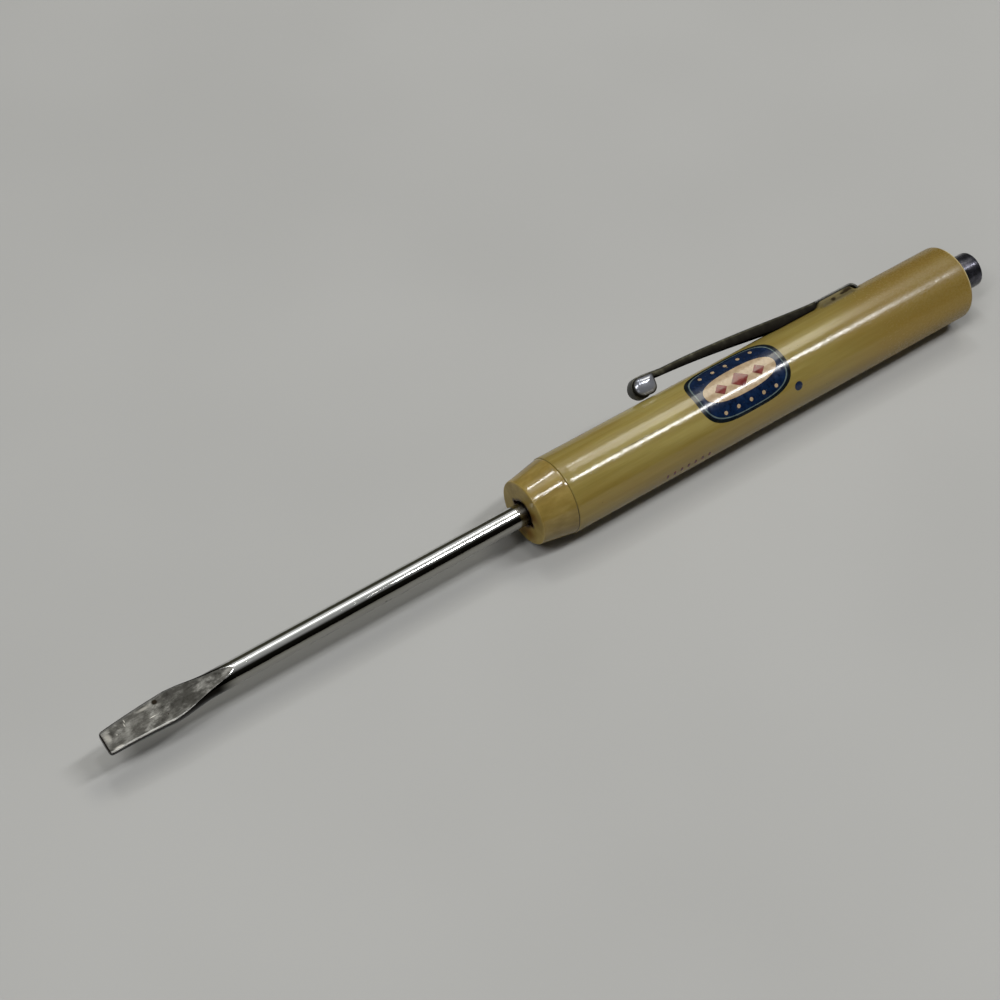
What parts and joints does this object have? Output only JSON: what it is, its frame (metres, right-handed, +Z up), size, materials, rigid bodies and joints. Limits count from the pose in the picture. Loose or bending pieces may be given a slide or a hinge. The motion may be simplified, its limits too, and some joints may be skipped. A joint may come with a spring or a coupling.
{
  "type": "pocket screwdriver",
  "caption": "Reversible-blade pocket screwdriver: flared flat blade, tapered nose, round plastic handle, spring pocket clip and a pick-up magnet in the butt.",
  "frame": {"origin": "middle of the blade's tip, on the tool's axis", "axes": "+X along the tool from the tip to the butt, +Z up as it lies on a table, whose top is at z = -6.35 mm"},
  "size_m": [0.1615, 0.0153, 0.013],
  "materials": {
    "handle_plastic": "glossy aged yellow-olive plastic with faint lengthwise streaks",
    "nose_plastic": "glossy aged yellow-olive plastic",
    "blade_steel": "bright chrome plate, ground matt on the flat faces",
    "magnet_alloy": "dark ground magnet alloy",
    "clip_steel": "tarnished plated spring steel"
  },
  "bodies": {
    "handle": {"barrel": "handle_plastic", "nose_cone": "nose_plastic", "end_magnet": "magnet_alloy", "clip_root": "clip_steel"},
    "blade": {"reversible_blade": "blade_steel"},
    "clip": {"clip_arm": "clip_steel"}
  },
  "joints": [
    {"name": "blade_pull", "type": "slide", "parent": "handle", "child": "blade", "axis": [-1, 0, 0], "range_m": [0, 0.07]},
    {"name": "clip_flex", "type": "hinge", "parent": "handle", "child": "clip", "pos_m": [0.1313, 0.00591, 0.00399], "axis": [0, 0.5592, -0.829], "range_deg": [0, 6], "stiffness_Nm_per_rad": 1.5}
  ]
}
